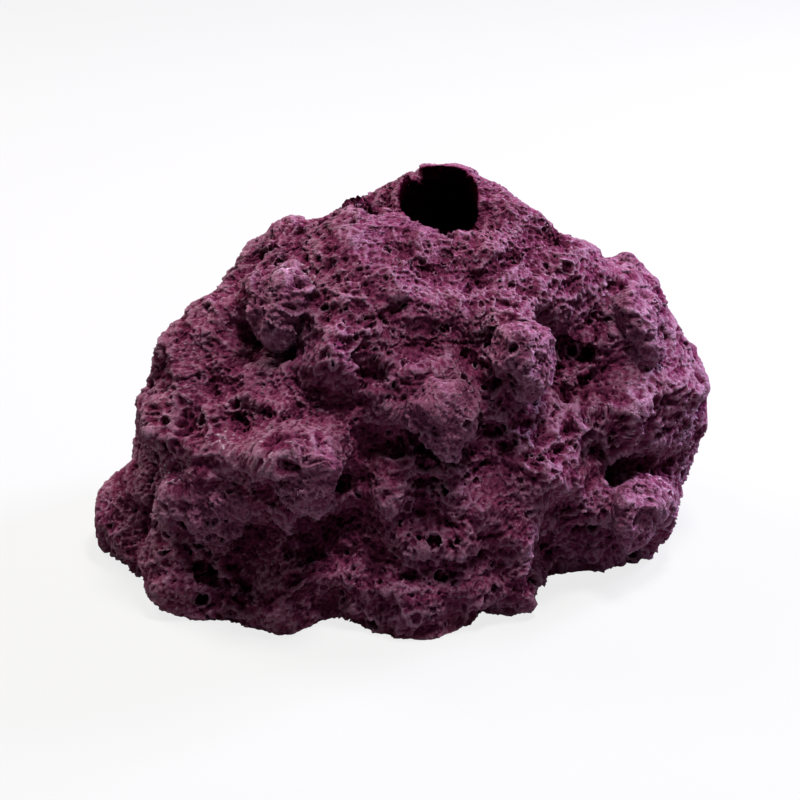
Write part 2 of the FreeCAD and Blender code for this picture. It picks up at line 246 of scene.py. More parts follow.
# ---- rock's form
def plan_radius(azimuth, half_width, half_depth):
    """Superellipse in plan: (|cos a|/w)^p + (|sin a|/d)^p is 1/r^p."""
    a = azimuth - LONG_AXIS_TURN
    along = np.abs(np.cos(a) / half_width) ** PLAN_POWER
    across = np.abs(np.sin(a) / half_depth) ** PLAN_POWER
    return (along + across) ** (-1 / PLAN_POWER)


def axis_at(level):
    """Middle of the plan at a level: it leans from the base's to the crater's."""
    share = np.maximum(level, 0) ** LEAN_POWER
    return [b + (c - b) * share for b, c in zip(BASE_CENTRE, CRATER_CENTRE)]


def swung(azimuth, level, radius, height):
    """Points at a radius and height round the leaning axis."""
    cx, cy = axis_at(level)
    return np.stack([cx + radius * np.cos(azimuth), cy + radius * np.sin(azimuth), height], -1)


def dome(azimuth, level):
    """Smooth rock: a superellipse in side view as well, tucked in at the foot."""
    angle = level * np.pi / 2
    tuck = 1 - FOOT_INSET * np.clip(1 - level / FOOT_LEVEL, 0, 1) ** 2
    radius = plan_radius(azimuth, BASE_HALF_WIDTH, BASE_HALF_DEPTH) * tuck
    radius = radius * np.cos(angle) ** (2 / DOME_POWER)
    return swung(azimuth, level, radius, DOME_HEIGHT * np.sin(angle) ** (2 / DOME_POWER))


def dome_normal(azimuth, level):
    """Outward normal of the dome, from two short steps along it."""
    step = 0.004
    low, high = np.maximum(level - step, 0.001), level + step
    up = dome(azimuth, high) - dome(azimuth, low)
    round_ = dome(azimuth + step, high) - dome(azimuth - step, high)
    return unit(np.cross(round_, up))


def at(azimuth_degrees, level):
    """One place on the smooth dome."""
    return dome(np.array(math.radians(azimuth_degrees)), np.array(float(level)))


def rim_height(azimuth):
    """Height of the crater's rim: a tilted plane."""
    return RIM_HEIGHT + RIM_TILT * np.cos(azimuth - RIM_TILT_AZIMUTH)


def closed_height_at_bore():
    """Height of the smooth dome where the bore breaks out of it."""
    share = BORE_RADIUS / ((BASE_HALF_WIDTH + BASE_HALF_DEPTH) / 2)
    return DOME_HEIGHT * (1 - share ** DOME_POWER) ** (1 / DOME_POWER)


def scatter(i, j, k, n):
    """A fixed number from 0 to 1 for a cell of a lattice: what is left of a large sine."""
    a, b, c, d, gain = SCATTER
    value = np.sin(i * a + j * b + k * c + n * d) * gain
    return value - np.floor(value)


def dish(points):
    """Depth of the dishes at a point, 0 to 1: 1 - (d/r)^2 about the middle of each one."""
    points = points * np.array([1, 1, CRAG_SQUASH])
    points[..., :2] += np.array(CRAG_START) - BASE_CENTRE
    low = np.floor(points / CRAG_SPACING - 0.5)
    depth = 0
    for corner in CORNERS:
        cell = low + corner
        i, j, k = np.moveaxis(cell, -1, 0)
        shift = np.stack([scatter(i, j, k, n) for n in range(3)], -1)
        middle = (cell + CELL_MARGIN + (1 - 2 * CELL_MARGIN) * shift) * CRAG_SPACING
        away = ((points - middle) ** 2).sum(-1) / (CRAG_WIDTH * CRAG_SPACING) ** 2
        depth = np.maximum(depth, 1 - away)
    return depth.astype(np.float32)


def lumps_at(points):
    """Crags, then bell curves exp(-d^2/2s^2) about each lump's place and each ridge's run."""
    rise = CRAG_DEPTH * (0.5 - dish(points))
    for azimuth, level, height, spread in LUMPS.values():
        away = ((points - at(azimuth, level).astype(np.float32)) ** 2).sum(-1)
        rise += height * np.exp(-0.5 * away * (SHARPNESS / spread) ** 2)
    for azimuth_a, level_a, azimuth_b, level_b, height, spread in RIDGES.values():
        start = at(azimuth_a, level_a).astype(np.float32)
        run = at(azimuth_b, level_b).astype(np.float32) - start
        share = np.clip((points - start) @ run / (run @ run), 0, 1)
        away = ((points - start - share[..., None] * run) ** 2).sum(-1)
        rise += height * np.exp(-0.5 * away * (SHARPNESS / spread) ** 2)
    return rise


def rock(azimuth, level):
    """Skin of the rock: the dome, its lumps along the normal, then the rim's lift."""
    points = dome(azimuth, level).astype(np.float32)
    dx, dy = points[..., 0] - CRATER_CENTRE[0], points[..., 1] - CRATER_CENTRE[1]
    nearness = np.exp(-np.maximum(np.hypot(dx, dy) - BORE_RADIUS, 0) / RIM_BLEND)
    rise = lumps_at(points) * (1 - nearness)
    points = points + dome_normal(azimuth, level).astype(np.float32) * rise[..., None]
    points[..., 2] += (rim_height(np.arctan2(dy, dx)) - closed_height_at_bore()) * nearness
    return points


# ---- grain of the rock
LATTICE = 32                # cells after which a pattern repeats
NOISE_GAIN = 1.7            # brings noise to about -1 to 1
BALL_BIAS = 1.5             # above 1, small balls are commoner
DISH_RADII = (0.54, 0.65)   # in cells
BUBBLE_RADII = (0.26, 0.48)
BUBBLE_DEPTH = 1.3          # deepest that a bubble cuts, in radii
LIP_AT = 1.1                # middle of a lip and its half width, in radii
LIP_REACH = 0.2

# Random shifts of the pattern: the noise's size and first seed, reach.
BROAD_WARP = (14, 10, 2.6)
FINE_WARP = (5, 13, 0.9)
JOG = (2.4, 34, 0.45)
# Scooped dishes: depth, spacing and seed.
LARGE_DISHES = (2.1, 7.2, 23)
MIDDLE_DISHES = (1.1, 3.0, 24)
SMALL_DISHES = (0.6, 1.5, 25)
DISH_SHARE = 0.85           # of the cells that hold a dish
DISH_SQUASH = 1.3           # as CRAG_SQUASH
# Open bubbles: spacing, share of cells that hold one, seed.
BUBBLES = ((4.2, 0.13, 31), (2.3, 0.30, 32), (1.4, 0.50, 33))
# Noises of the crust: height, size and seed.
UNEVENNESS = ((1.3, 13, 21),)
GRAIN = ((0.24, 1.2, 40), (0.22, 0.7, 41))
USUAL_CRAG = 1.5            # settings at which the tables hold
USUAL_VESICLE = 2.5
QUIET = 0.45                # share of dishes and bubbles in the smoothest places
LIP_RISE = 0.28             # of a lip, against its bubble's radius
LIP_HIGHLIGHT = 0.7             # how far a lip counts as proud, which paints a highlight on it
SAG = 0.45                  # how far a crest sags, against its height


def near_cells(points, size, shift=0.0):
    """For the eight lattice cells about each point: table index, way from the corner, weight.

    The weight is the product over the axes of 1 - t^3 (6t^2 - 15t + 10), where t is
    the distance from the cell's corner in cells.
    """
    sides = []
    for axis in range(3):
        q = points[..., axis] / np.float32(size)
        cell = np.floor(q - np.float32(shift)).astype(np.int32)
        sides.append([])
        for step in (0, 1):
            away = (q - (cell + step)).astype(np.float32)
            t = np.abs(away)
            weight = 1 - t * t * t * (t * (t * 6 - 15) + 10)
            sides[axis].append(((cell + step) & (LATTICE - 1), away, weight))
    for i, j, k in CORNERS:
        (a, dx, wx), (b, dy, wy), (c, dz, wz) = sides[0][i], sides[1][j], sides[2][k]
        yield (a * LATTICE + b) * LATTICE + c, dx, dy, dz, wx * wy * wz


@lru_cache(maxsize=None)
def slope_table(seed):
    """Random unit vectors, one for each corner of the lattice."""
    slopes = np.random.default_rng(seed).normal(size=(LATTICE ** 3, 3))
    return unit(slopes).astype(np.float32).T.copy()


@lru_cache(maxsize=None)
def ball_table(seed, share, small, large):
    """A ball for each cell: its middle, its radius in cells, and 0 for one left out."""
    rng = np.random.default_rng(seed)
    middles = CELL_MARGIN + (1 - 2 * CELL_MARGIN) * rng.random((3, LATTICE ** 3))
    radii = small + (large - small) * rng.random(LATTICE ** 3) ** BALL_BIAS
    radii[rng.random(LATTICE ** 3) > share] = 0
    return np.vstack([middles, radii]).astype(np.float32)


def noise(points, size, seed):
    """Gradient noise: random slopes at the corners of a lattice, blended; about -1 to 1."""
    gx, gy, gz = slope_table(seed)
    total = 0
    for index, dx, dy, dz, weight in near_cells(points, size):
        total += weight * (gx[index] * dx + gy[index] * dy + gz[index] * dz)
    return total * np.float32(NOISE_GAIN)


def octaves(points, table):
    """Sum of noises, each with its height, size and seed."""
    return sum(height * noise(points, size, seed) for height, size, seed in table)


def jitter(points, size, seed, reach):
    """A random shift of each point, by one noise along each axis."""
    return np.stack([noise(points, size, seed + k) * reach for k in range(3)], -1)


def scallops(points, size, seed, share=1.0):
    """Scooped dishes 1 - (d/r)^2 about random middles; dishes meet in sharp crests; 0 to 1."""
    mx, my, mz, radii = ball_table(seed, share, *DISH_RADII)
    depth = 0
    for index, dx, dy, dz, _ in near_cells(points, size, 0.5):
        square = (dx - mx[index]) ** 2 + (dy - my[index]) ** 2 + (dz - mz[index]) ** 2
        depth = np.maximum(depth, 1 - square / np.maximum(radii[index], 1e-3) ** 2)
    return depth


def bubbles(points, normals, size, seed, share):
    """Depth of the gas bubbles that the skin cuts open, and the height of their lips.

    Where a point lies inside a ball of radius r, the skin drops along its normal n
    to the ball's far wall, by (q.n) + sqrt((q.n)^2 - q.q + r^2), q being the way
    from the ball's middle.  Just outside the ball the lip rises, and falls off
    evenly with the distance.
    """
    mx, my, mz, radii = ball_table(seed, share, *BUBBLE_RADII)
    depth, lip = 0, 0
    for index, dx, dy, dz, _ in near_cells(points, size, 0.5):
        x, y, z, r = dx - mx[index], dy - my[index], dz - mz[index], radii[index]
        square = x * x + y * y + z * z
        along = x * normals[..., 0] + y * normals[..., 1] + z * normals[..., 2]
        drop = along + np.sqrt(np.maximum(along * along - square + r * r, 0))
        cut = np.where(square < r * r, np.minimum(drop, BUBBLE_DEPTH * r), 0)
        depth = np.maximum(depth, cut)
        edge = 1 - np.abs(np.sqrt(square) / np.maximum(r, 1e-3) - LIP_AT) / LIP_REACH
        lip = np.maximum(lip, np.where(square > r * r, np.clip(edge, 0, 1) * r, 0))
    return depth * size, lip * size


def crust(points, normals, strength, sizes):
    """Crust of vesicular lava: displaced points, and how far each lies out of the form.

    In turn: broad noise on a warped lattice, scooped dishes of three sizes that
    meet in sharp crests, open bubbles of three sizes, and a fine grain.  Dishes and
    bubbles are scarcer where the skin is smooth.  Crests sag a little, so that
    they overhang the hollows below them.
    """
    push = strength[..., None] * normals
    bent = points + (jitter(points, *BROAD_WARP) + jitter(points, *FINE_WARP))
    bent[..., 2] *= DISH_SQUASH
    rough = QUIET + (1 - QUIET) * smooth(noise(points, 17, 17), -0.35, 0.35)

    def dished(depth, size, seed):
        return depth * scallops(bent, size, seed, DISH_SHARE)

    dishes = dished(*LARGE_DISHES) * rough
    dishes += dished(*MIDDLE_DISHES) * rough + dished(*SMALL_DISHES)
    relief = octaves(bent, UNEVENNESS) + (1.0 - dishes) * sizes.crag_height / USUAL_CRAG
    moved = points + push * relief[..., None]
    jog = jitter(points, *JOG)
    shade = 0
    for size, share, seed in BUBBLES:
        width = size * sizes.vesicle_size / USUAL_VESICLE
        hole, lip = bubbles(moved + jog, normals, width, seed, share)
        change = (LIP_RISE * lip - hole) * rough
        moved = moved + push * change[..., None]
        relief += change
        # A lip counts as proud, so that it takes a painted highlight.
        shade += lip * LIP_HIGHLIGHT
    grain = octaves(moved, GRAIN)
    moved = moved + push * grain[..., None]
    relief += grain
    moved[..., 2] -= SAG * np.maximum(relief, 0) * strength
    return moved, (relief + shade) * strength


STRIP_ROWS = 12
THREADS = 4


def in_strips(function, *grids):
    """Runs a pointwise function on strips of rows side by side, and joins what it returns."""
    strips = [slice(i, i + STRIP_ROWS) for i in range(0, len(grids[0]), STRIP_ROWS)]
    with ThreadPoolExecutor(THREADS) as pool:
        done = list(pool.map(lambda strip: function(*[grid[strip] for grid in grids]), strips))
    return [np.concatenate(part) for part in zip(*done)]


def blurred(field, reach, axis, closed):
    """Running mean along one axis over 2 reach + 1 samples."""
    pad = [(0, 0)] * field.ndim
    pad[axis] = (reach + 1, reach)
    total = np.cumsum(np.pad(field, pad, mode="wrap" if closed else "edge"), axis, dtype=np.float64)
    count = field.shape[axis]
    high = np.take(total, range(2 * reach + 1, 2 * reach + 1 + count), axis)
    low = np.take(total, range(0, count), axis)
    return ((high - low) / (2 * reach + 1)).astype(np.float32)


def softened(field, reach, along_closed):
    """A field blurred both ways over the grid, twice: near a bell curve's blur."""
    for _ in range(2):
        field = blurred(blurred(field, reach, 1, True), reach, 0, along_closed)
    return field


# Reaches of proudness in samples, and their weights.
PROUD_REACHES = ((2, 1.0), (7, 0.25), (24, 0.3))


def proudness(relief, along_closed):
    """Relief less its running means over three reaches: above 0 on crests, below in pits."""
    proud = 0
    for reach, weight in PROUD_REACHES:
        proud += weight * (relief - softened(relief, reach, along_closed))
    return proud


def kept_in_box(points):
    """Points eased back within the solid model's box: past limit - e, it is e tanh."""
    ease, margin = 2.0, 0.05
    for k in range(3):
        middle, half = (LOW[k] + HIGH[k]) / 2, (HIGH[k] - LOW[k]) / 2 - margin
        away = points[..., k] - middle
        over = np.maximum(np.abs(away) - (half - ease), 0)
        eased = np.sign(away) * (half - ease + ease * np.tanh(over / ease))
        points[..., k] = np.where(over > 0, middle + eased, points[..., k])
    points[..., 2] = np.maximum(points[..., 2], 0)
    return points


# Where pale specks are painted on crests, partly mineral dust and partly painted glints: azimuth,
# level and reach in millimetres.
DUST_AND_GLINTS = (
    (216, 0.25, 4.0),
    (226, 0.33, 4.5),
    (237, 0.32, 4.5),
    (216, 0.62, 6.0),
    (293, 0.46, 4.0),
    (342, 0.16, 6.0),
    (150, 0.40, 7.0),
    (80, 0.45, 7.0),
)


def dust_and_glint_amount(points):
    """Sum of bell curves about the places of pale specks: dust and painted glints."""
    dust_and_glint = np.zeros(len(points), np.float32)
    for azimuth, level, reach in DUST_AND_GLINTS:
        away = ((points - one_point(azimuth, level)) ** 2).sum(-1)
        dust_and_glint += np.exp(-away / reach ** 2)
    return dust_and_glint


# ---- meshes
def mesh_object(name, points, normals, faces, proud):
    """A smooth-shaded mesh object in metres, with its proudness in millimetres."""
    mesh = bpy.data.meshes.new(name)
    mesh.vertices.add(len(points))
    mesh.vertices.foreach_set("co", (points * MM).astype(np.float32).ravel())
    mesh.loops.add(sum(f.size for f in faces))
    vertex_index = np.concatenate([f.ravel() for f in faces])
    mesh.loops.foreach_set("vertex_index", vertex_index.astype(np.int32))
    corners = np.concatenate([np.full(len(f), f.shape[1]) for f in faces])
    mesh.polygons.add(len(corners))
    starts = np.concatenate([[0], np.cumsum(corners)[:-1]])
    mesh.polygons.foreach_set("loop_start", starts.astype(np.int32))
    mesh.polygons.foreach_set("use_smooth", np.ones(len(corners), bool))
    mesh.update(calc_edges=True)
    mesh.normals_split_custom_set_from_vertices(normals.astype(np.float32))
    for key, values in (("proud", proud), ("dust_and_glint", dust_and_glint_amount(points))):
        mesh.attributes.new(key, "FLOAT", "POINT").data.foreach_set(
            "value", values.astype(np.float32))
    return placed(name, mesh)


def placed(name, data):
    """A new object in the scene that holds the data."""
    made = bpy.data.objects.new(name, data)
    bpy.context.scene.collection.objects.link(made)
    return made


def grid_quads(rows, columns, rows_closed, columns_closed):
    """Quads of a grid of points numbered row by row, which may close on itself."""
    i, j = np.meshgrid(np.arange(rows - (not rows_closed)),
                       np.arange(columns - (not columns_closed)), indexing="ij")
    up, across = (i + 1) % rows, (j + 1) % columns
    corners = [i * columns + j, i * columns + across, up * columns + across, up * columns + j]
    return np.stack(corners, -1).reshape(-1, 4)


# ---- the shell
SHELL_ROUND = 1260          # columns of the shell's grid
SKIN_ROWS = 384
BORE_ROWS = 24
CAVE_ROWS = 40
BASE_ROWS = 12
ROW_SPACING = (0.8, 0.2)    # of the rows' levels, what is even and what widens upwards
CRUST_SHARES = ((SKIN_ROWS, 1.0), (BORE_ROWS, 0.15), (CAVE_ROWS, 0.3), (BASE_ROWS, 0.0))
FADE_ROWS = 3               # over which the shares blend
WEDGES = ("front", "front_right", "back_right", "back", "back_left", "front_left")
FIRST_WEDGE = math.radians(240)

BROAD_REACH = 22            # samples over which broad hollows are told
BROAD_LIMITS = (-4, 0.3)    # of those hollows and swells, in millimetres
BROAD_SHARE = 0.25          # how far they count in proudness, and so in the painted shade of broad hollows
BORE_SHADE_DEPTH = 5                   # painted shade of the lower bore, as proudness in millimetres
# painted shade all down the bore, from its rim, as proudness in millimetres
RIM_SHADE_DEPTH = 1.5

# How the rock meets a chunk: depth of the hollow below it and the hollow's width
# against the chunk's, then height of the rock's collar above it against how far the
# chunk stands out.
MEETINGS = {
    "front_boulder": (3.2, 0.8, 0.25),
    "right_knob": (1.5, 0.7, 0.55),
    "left_knob": (3.4, 0.9, 0.5),
    "shoulder_boulder": (0.0, 1.0, 0.7),
    "rear_stub": (0.0, 1.0, 0.3),
    "ledge_chunk": (2.6, 0.9, 0.8),
    "left_ridge_chunk": (1.0, 0.8, 0.55),
    "right_ledge_chunk": (1.4, 0.9, 0.8),
    "left_flank_chunk": (0.0, 1.0, 0.8),
    "back_boulder": (3.0, 0.9, 0.5),
}
MEETING_AT = 4              # out from a chunk's seat, the middle of the meeting
MEETING_REACH = 9
USUAL_LET_IN = 4.5
COLLAR_AT = 0.8             # where a collar starts to fall off, in half widths
COLLAR_REACH = 0.45
UNDERCUT_AT = 1.15          # middle of an undercut, in the chunk's half heights
UNDERCUT_REACH = 0.32

# Dips in the crater's rim, and one rise: azimuth and spread in degrees, depth.
RIM_DIPS = (
    (322, 22, 3.2),
    (200, 20, 0.8),
    (62, 14, -1.2),
)
RIM_NOISE = ((0.8, 5.0, 50), (0.5, 1.9, 51), (0.3, 0.9, 54))


def ragged_rim(azimuth):
    """Height of the broken rim: the tilted plane, its dips, three octaves of noise."""
    circle = np.stack([np.cos(azimuth), np.sin(azimuth), 0 * azimuth], -1) * BORE_RADIUS
    uneven = octaves(circle.astype(np.float32), RIM_NOISE)
    for middle, wide, deep in RIM_DIPS:
        away = (azimuth - math.radians(middle) + np.pi) % (2 * np.pi) - np.pi
        uneven -= deep * np.exp(-0.5 * (away / math.radians(wide)) ** 2)
    return rim_height(azimuth) + uneven


def bore_circle(azimuth, height):
    """Points of the bore's circle at a height."""
    return np.stack([
        CRATER_CENTRE[0] + BORE_RADIUS * np.cos(azimuth) + 0 * height,
        CRATER_CENTRE[1] + BORE_RADIUS * np.sin(azimuth) + 0 * height,
        height,
    ], -1)


def outer_skin(azimuth):
    """Rows from the floor to the rim; the last ones gather on the bore's circle."""
    share = np.linspace(0, 1, SKIN_ROWS, endpoint=False)[:, None]
    level = RIM_LEVEL * (ROW_SPACING[0] * share + ROW_SPACING[1] * share ** 2) + 0 * azimuth
    points, = in_strips(lambda rows: (rock(azimuth + 0 * rows, rows),), level)
    top = rock(azimuth, np.full_like(azimuth, RIM_LEVEL))
    circle = bore_circle(azimuth, ragged_rim(azimuth))
    gather = smooth(level, RIM_GATHER_LEVEL, RIM_LEVEL)[..., None]
    return points + gather * (circle - top)


def chipped(points):
    """Rim broken away: inside the wedge and its reach, the skin drops to the chip's floor."""
    dx, dy = points[..., 0] - CRATER_CENTRE[0], points[..., 1] - CRATER_CENTRE[1]
    azimuth = np.arctan2(dy, dx) % (2 * np.pi)
    jag = 0.10 * noise(points, 3.0, 52)
    beyond = np.hypot(dx, dy) - BORE_RADIUS + 6 * jag

    def past(value, edge, softness):
        return smooth(value, edge - softness, edge + softness)

    wedge = past(azimuth + jag, CHIP_FROM, 0.05)
    wedge *= 1 - past(azimuth + jag, CHIP_TO, 0.08)
    wedge *= 1 - past(beyond, CHIP_REACH, 1.0)
    wedge *= points[..., 2] > RIM_HEIGHT * 0.8
    middle = (CHIP_FROM + CHIP_TO) / 2
    floor = rim_height(middle) - CHIP_DEPTH + 0.8 * noise(points, 2.2, 53)
    points[..., 2] -= np.maximum(points[..., 2] - floor, 0) * wedge
    return points


def bore_wall(azimuth, top, bottom):
    """Rows down the bore, from the rim to the cave's ceiling."""
    share = np.linspace(0, 1, BORE_ROWS, endpoint=False)[:, None]
    return bore_circle(azimuth, top + (bottom - top) * share)


def cave_wall(azimuth):
    """Rows from the foot of the bore out and down to the floor: a dome inside the rock's."""
    share = np.linspace(0, 1, CAVE_ROWS)[:, None]
    level = CAVE_TOP_LEVEL * (1 - share) + 0 * azimuth
    angle = level * np.pi / 2
    radius = plan_radius(azimuth, BASE_HALF_WIDTH - WALL, BASE_HALF_DEPTH - WALL)
    radius = radius * np.cos(angle) ** (2 / CAVE_POWER)
    height = (DOME_HEIGHT - ROOF) * np.sin(angle) ** (2 / CAVE_POWER)
    points = swung(azimuth, level, radius, height)
    circle = bore_circle(azimuth, 0 * azimuth)[..., :2]
    gather = (1 - smooth(share, 0, 0.25))[..., None]
    points[..., :2] += gather * (circle - points[0, :, :2])
    return points


# Hollows and swells of the skin alone: azimuth, level, rise and spread.
SWELLS = (
    (217, 0.56, -3.5, 7),
    (255, 0.29, -3.5, 6),
    (252, 0.16, -3.5, 7),
    (235, 0.09, -3.0, 8),
    (221, 0.16, -2.5, 7),
    (302, 0.24, -3.0, 6),
    (336, 0.46, -4.0, 8),
    (350, 0.69, -2.5, 5),
    (339, 0.22, -2.5, 6),
    (267, 0.26, 2.5, 8),
    (265, 0.39, 2.5, 7),
    (324, 0.31, 4.0, 9),
    (337, 0.30, 4.0, 9),
    (187, 0.70, -4.5, 10),
    (192, 0.62, -2.0, 8),
    (130, 0.80, -3.0, 8),
    (150, 0.80, -3.0, 9),
    (172, 0.78, -1.5, 8),
    (27, 0.76, -2.0, 7),
)


def one_point(azimuth, level):
    """One place on the lumpy rock, as three numbers."""
    return rock(np.array([[math.radians(azimuth)]]), np.array([[float(level)]]))[0, 0]


def worn_in(points, pits, chunks):
    """Change along the normal: swells, worn pits, collars of rock round chunks, undercuts."""
    change = np.zeros(points.shape[:-1], np.float32)
    for azimuth, level, rise, spread in SWELLS:
        away = ((points - one_point(azimuth, level)) ** 2).sum(-1)
        change += rise * np.exp(-0.5 * away * (SHARPNESS / spread) ** 2)
    jag = noise(points, 3.4, 60)
    for centre, mouth, depth in pits:
        away = np.sqrt(((points - centre) ** 2).sum(-1)) / mouth + 0.3 * jag
        change -= depth * np.clip(1 - away ** 2, 0, 1) ** 0.7
    for (seat, out, across, up, width, height, tall), (depth, reach, collar) in chunks:
        q = points - seat
        wide, high = q @ across / width, q @ up / height
        near = np.exp(-((q @ out - MEETING_AT) / MEETING_REACH) ** 2)
        beyond = np.maximum(np.hypot(wide, high) - COLLAR_AT + 0.15 * jag, 0)
        above = smooth(high, -0.9, 0.1)
        ring = np.exp(-(beyond / COLLAR_REACH) ** 2)
        change += collar * (tall - USUAL_LET_IN) * near * above * ring
        side = np.exp(-(wide / reach + 0.2 * jag) ** 4)
        below = np.exp(-((high + UNDERCUT_AT + 0.12 * jag) / UNDERCUT_REACH) ** 2)
        change -= depth * near * side * below
    return change


def make_shell(sizes):
    """The casting as one torus-like grid: skin, rim, bore, cave and base ring.

    The grid is shared out among wedges, each a closed mesh, whose normals are those
    of the whole grid.
    """
    azimuth = (FIRST_WEDGE + np.arange(SHELL_ROUND) * 2 * np.pi / SHELL_ROUND)[None, :]
    skin = outer_skin(azimuth)
    pits = [(one_point(a, l), mouth, depth) for a, l, mouth, depth in PITS.values()]
    chunks = [(chunk_place(name), value) for name, value in MEETINGS.items()]
    worn, = in_strips(lambda p: (worn_in(p, pits, chunks),), skin)
    skin += grid_normals(skin, along_closed=False) * worn[..., None]
    skin = chipped(skin)
    cave = cave_wall(azimuth)
    bore = bore_wall(azimuth, skin[-1, :, 2], cave[0, :, 2])
    share = np.linspace(0, 1, BASE_ROWS + 1, endpoint=False)[1:, None, None]
    base = cave[-1] + (skin[0] - cave[-1]) * share
    points = np.concatenate([skin, bore, cave, base]).astype(np.float32)
    normals = grid_normals(points)
    strength = np.concatenate([np.full(rows, portion) for rows, portion in CRUST_SHARES])
    strength = strength[:, None].astype(np.float32)
    strength = blurred(strength, FADE_ROWS, 0, True) + 0 * points[..., 0]
    moved, relief = in_strips(
        lambda p, n, k: crust(p, n, k, sizes), points, normals, strength)
    moved[-BASE_ROWS - 1:, :, 2] = 0
    moved[0, :, 2] = 0
    moved = kept_in_box(moved)
    mean = softened(points, BROAD_REACH, True)
    broad = np.clip(((points - mean) * normals).sum(-1), *BROAD_LIMITS)
    # Broad hollows count as less proud, so that they take painted shade.
    proud = proudness(relief, True) + BROAD_SHARE * broad
    # Painted shade down the bore and into the cave, where little light reaches: lower proudness
    # takes the dark colours.
    proud[SKIN_ROWS:-BASE_ROWS] -= bore_shade()[:, None]
    return wedges(moved, grid_normals(moved), proud)


def bore_shade():
    """Painted shade in the bore, which deepens over its first half and fades again over the cave.
    """
    down = smooth(np.linspace(0, 1, BORE_ROWS), 0, 0.5) * BORE_SHADE_DEPTH + RIM_SHADE_DEPTH
    return np.concatenate([down, np.linspace(BORE_SHADE_DEPTH, 0, CAVE_ROWS)])


def wedges(points, normals, proud):
    """Shares the closed grid out among wedges, and closes each cut with a zip of triangles.

    A cut's zip joins each step up the skin to a place the same share of the way round
    the inside, from the base to the rim.
    """
    made = []
    rows, inside = len(points), len(points) - SKIN_ROWS
    each = SHELL_ROUND // len(WEDGES)
    up = np.arange(SKIN_ROWS - 1)
    facing = rows - 1 - up * inside // SKIN_ROWS
    after = rows - 1 - (up + 1) * inside // SKIN_ROWS
    zip_ = np.concatenate([
        np.stack([up, up + 1, facing], -1),
        np.stack([up + 1, after, facing], -1)[after != facing],
    ])
    for k, side in enumerate(WEDGES):
        columns = (np.arange(each + 1) + k * each) % SHELL_ROUND
        faces = [
            grid_quads(rows, each + 1, True, False),
            zip_ * (each + 1), zip_[:, ::-1] * (each + 1) + each,
        ]
        made.append(mesh_object(
            "crust_" + side, points[:, columns].reshape(-1, 3),
            normals[:, columns].reshape(-1, 3), faces, proud[:, columns].ravel()))
    return made


# ---- the rubble
CHUNK_ROUND = 200
CHUNK_ROWS = 104
CHUNK_CRUST = 0.85          # share of the shell's crust that a chunk has
CHUNK_NOISE = ((1.2, 9.0, 70), (1.0, 5.0, 71))
CHUNK_DISH_DEPTH = 1.4
CHUNK_DISH_SIZE = 8.0
NOISE_START = 4.0           # height above the seat where it is fully uneven
CRUST_START = 3.0           # and from which it has its full crust


def chunk_place(name):
    """Seat, axes and sizes of a chunk, as the solid model has them."""
    azimuth, level, width, height, stand_out, let_in, lean = CHUNKS[name]
    a, tip = math.radians(azimuth), math.radians(lean)
    out = np.array([math.cos(a) * math.cos(tip), math.sin(a) * math.cos(tip), math.sin(tip)])
    across = np.array([-out[1], out[0], 0]) / math.hypot(out[0], out[1])
    up = np.cross(out, across)
    seat = one_point(azimuth, level) - out * let_in
    return [np.float32(v) for v in (seat, out, across, up)] + [width, height, stand_out + let_in]


def make_chunk(name, sizes):
    """A chunk: its girth swept up its axis with three broad lobes, then the same crust."""
    seat, out, across, up, width, height, tall = chunk_place(name)
    shares, girths = zip(*CHUNK_PROFILE)
    path_share = np.concatenate([[0.0], shares, [1.0]])
    path_girth = np.concatenate([[0.0], girths, [0.0]])
    steps = np.hypot(np.diff(path_share) * tall, np.diff(path_girth) * (width + height) / 2)
    length = np.concatenate([[0], np.cumsum(steps)]) / steps.sum()
    t = np.linspace(0, 1, CHUNK_ROWS)[:, None]
    along = np.interp(t, length, path_share) * tall
    girth = np.interp(t, length, path_girth)
    turn = (np.arange(CHUNK_ROUND) * 2 * np.pi / CHUNK_ROUND)[None, :]
    lobes = 1 + CHUNK_LOBE_RISE * np.cos(CHUNK_LOBES * turn + math.radians(CHUNKS[name][0]))
    points = (
        seat + out * along[..., None]
        + across * (width * girth * lobes * np.cos(turn))[..., None]
        + up * (height * girth * lobes * np.sin(turn))[..., None]
    ).astype(np.float32)
    normals = pole_normals(points, out)
    uneven = octaves(points, CHUNK_NOISE)
    uneven += CHUNK_DISH_DEPTH / 2 - CHUNK_DISH_DEPTH * scallops(points, CHUNK_DISH_SIZE, 72)
    points += normals * (uneven * smooth(along, 0.0, NOISE_START))[..., None]
    strength = CHUNK_CRUST * smooth(along, 0.0, CRUST_START) + 0 * points[..., 0]
    moved, relief = in_strips(
        lambda p, n, k: crust(p, n, k, sizes), points, pole_normals(points, out), strength)
    moved[0], moved[-1] = moved[0].mean(0), moved[-1].mean(0)
    moved = kept_in_box(moved)
    normals = pole_normals(moved, out)
    proud = proudness(relief, False)

    def with_poles(grid):
        rings = grid[1:-1].reshape((-1,) + grid.shape[2:])
        return np.concatenate([grid[:1, 0], rings, grid[-1:, 0]])

    ring = np.arange(CHUNK_ROUND)
    onward = (ring + 1) % CHUNK_ROUND
    last_ring = 1 + (CHUNK_ROWS - 3) * CHUNK_ROUND
    tip = np.full(CHUNK_ROUND, last_ring + CHUNK_ROUND)
    faces = [
        grid_quads(CHUNK_ROWS - 2, CHUNK_ROUND, False, True) + 1,
        np.stack([0 * ring, 1 + onward, 1 + ring], -1),
        np.stack([tip, last_ring + ring, last_ring + onward], -1),
    ]
    return mesh_object(
        name + "_rubble", with_poles(moved), with_poles(normals), faces, with_poles(proud))


def pole_normals(points, out):
    """Normals of a grid whose first and last rows are poles on an axis."""
    normals = grid_normals(points, along_closed=False)
    normals[0], normals[-1] = -out, out
    return normals


